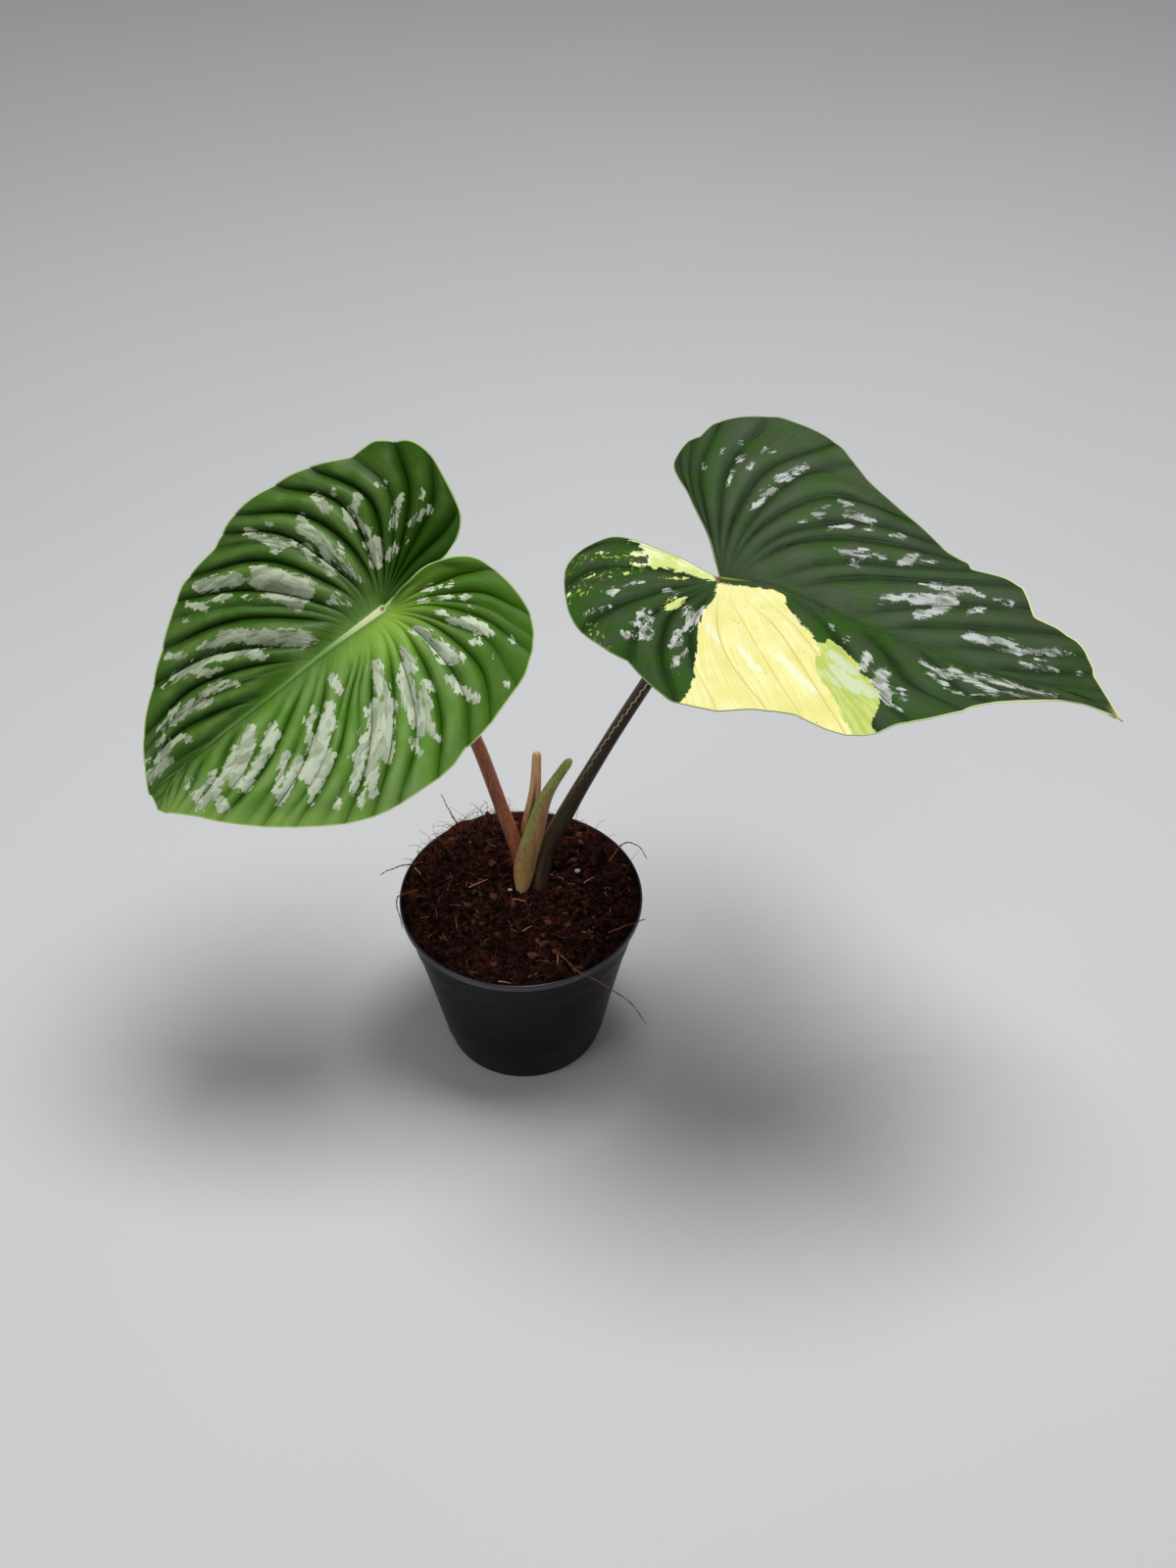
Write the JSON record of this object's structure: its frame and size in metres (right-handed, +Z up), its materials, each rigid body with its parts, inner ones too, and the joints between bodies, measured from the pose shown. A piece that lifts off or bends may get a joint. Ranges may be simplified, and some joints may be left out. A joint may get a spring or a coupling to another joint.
{
  "type": "potted philodendron mamei",
  "caption": "Aroid house plant: pleated heart-shaped blades with silver and yellow variegation on long stalks, rooted in soil in a round tapered nursery pot.",
  "frame": {"origin": "centre of the pot's flat base, on the surface it stands on", "axes": "+Z up out of the pot, +X to the viewer's right towards the dark leaf, +Y away from the viewer"},
  "size_m": [0.4137, 0.1784, 0.3151],
  "materials": {
    "pot_plastic": "black moulded plastic with a satin sheen",
    "soil": "rough dark brown coir and peat",
    "stem": "green and tan plant stem",
    "left_stalk": "smooth red-brown leaf stalk",
    "left_leaf": "satin bright green leaf with silver patches",
    "right_stalk": "smooth dark brown and olive leaf stalk",
    "right_leaf": "satin dark green leaf with silver patches and a pale yellow sector",
    "green_sheath": "satin green and tan sheath leaf",
    "dry_sheath": "dry papery orange-brown sheath leaf",
    "coir": "rough brown coir fibre",
    "perlite": "matt white expanded mineral grain"
  },
  "bodies": {
    "root": {"nursery_pot": "pot_plastic", "potting_mix": "soil", "stem": "stem", "left_petiole": "left_stalk", "left_blade": "left_leaf", "right_petiole": "right_stalk", "right_blade": "right_leaf", "green_cataphyll": "green_sheath", "dry_cataphyll": "dry_sheath", "coir_fibre_front": "coir", "coir_fibre_left": "coir", "coir_fibre_right": "coir", "coir_fibre_back": "coir", "coir_fibre_rim_left": "coir", "coir_fibre_rim_right": "coir", "perlite_grain_right": "perlite", "perlite_grain_left": "perlite"}
  },
  "joints": []
}
